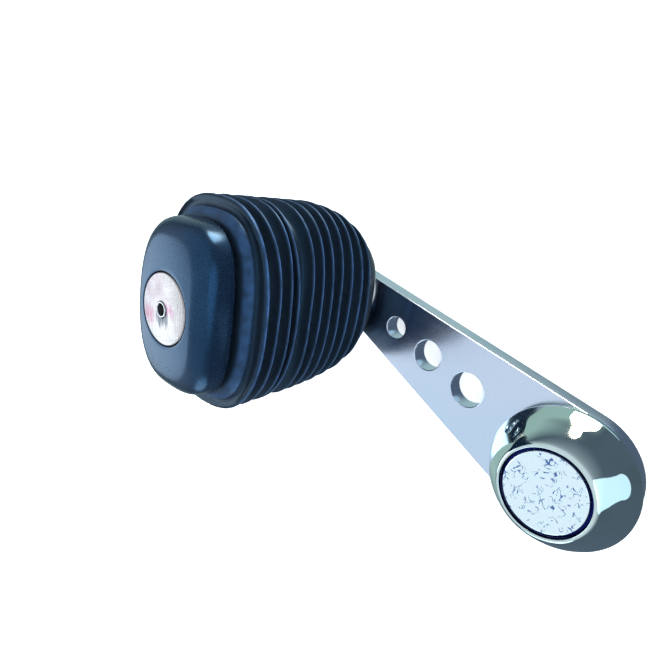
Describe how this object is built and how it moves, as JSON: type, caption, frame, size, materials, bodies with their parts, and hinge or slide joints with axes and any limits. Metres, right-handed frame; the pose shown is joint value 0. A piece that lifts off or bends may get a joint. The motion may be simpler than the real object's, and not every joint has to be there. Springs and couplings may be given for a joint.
{
  "type": "fishing reel handle",
  "caption": "Power handle of a round fishing reel: a tapered metal crank arm with a chrome hub cover and a large ribbed rubber knob on ball bearings.",
  "frame": {"origin": "on the axis of the drive hole, at the back face of the crank arm", "axes": "+Z along the reel's drive shaft, away from the reel, towards the knob; +X along the crank arm from the drive hole to the knob"},
  "size_m": [0.0963, 0.042, 0.0573],
  "materials": {
    "arm_aluminium": "satin",
    "chrome": "polished",
    "hammered_silver": "hammered",
    "black_rubber": "moulded",
    "black_plastic": "satin",
    "turned_aluminium": "turned",
    "bright_steel": "bright",
    "bearing_steel": "ground",
    "brass": "pressed",
    "nylon": "moulded"
  },
  "bodies": {
    "crank": {"crank_arm": "arm_aluminium", "spring_washer": "bright_steel", "handle_nut": "bright_steel", "nut_lock_plate": "bright_steel", "lock_plate_screw": "bright_steel", "hub_cover": "chrome", "hub_inlay_disc": "hammered_silver", "knob_post": "bright_steel", "thrust_washer": "nylon", "lower_bearing_inner_race": "bearing_steel", "bearing_spacer": "brass", "upper_bearing_inner_race": "bearing_steel", "retaining_washer": "bright_steel", "post_screw": "bright_steel"},
    "knob": {"knob_core": "black_plastic", "grip_sleeve": "black_rubber", "end_cap": "black_plastic", "end_disc": "turned_aluminium", "oil_eyelet": "bright_steel", "lower_bearing_outer_race": "bearing_steel", "upper_bearing_outer_race": "bearing_steel"},
    "lower_cage": {"lower_bearing_cage": "brass", "lower_bearing_ball_1": "bearing_steel", "lower_bearing_ball_2": "bearing_steel", "lower_bearing_ball_3": "bearing_steel", "lower_bearing_ball_4": "bearing_steel", "lower_bearing_ball_5": "bearing_steel", "lower_bearing_ball_6": "bearing_steel", "lower_bearing_ball_7": "bearing_steel"},
    "upper_cage": {"upper_bearing_cage": "brass", "upper_bearing_ball_1": "bearing_steel", "upper_bearing_ball_2": "bearing_steel", "upper_bearing_ball_3": "bearing_steel", "upper_bearing_ball_4": "bearing_steel", "upper_bearing_ball_5": "bearing_steel", "upper_bearing_ball_6": "bearing_steel", "upper_bearing_ball_7": "bearing_steel"}
  },
  "joints": [
    {"name": "knob_spin", "type": "hinge", "parent": "crank", "child": "knob", "pos_m": [0.0641, 0, 0], "axis": [0, 0, 1], "continuous": true},
    {"name": "lower_cage_spin", "type": "hinge", "parent": "crank", "child": "lower_cage", "pos_m": [0.0641, 0, 0.009], "axis": [0, 0, 1], "continuous": true},
    {"name": "upper_cage_spin", "type": "hinge", "parent": "crank", "child": "upper_cage", "pos_m": [0.0641, 0, 0.043], "axis": [0, 0, 1], "continuous": true}
  ],
  "couplings": [
    {"joint": "lower_cage_spin", "follows": "knob_spin", "ratio": 0.59333},
    {"joint": "upper_cage_spin", "follows": "knob_spin", "ratio": 0.59333}
  ]
}
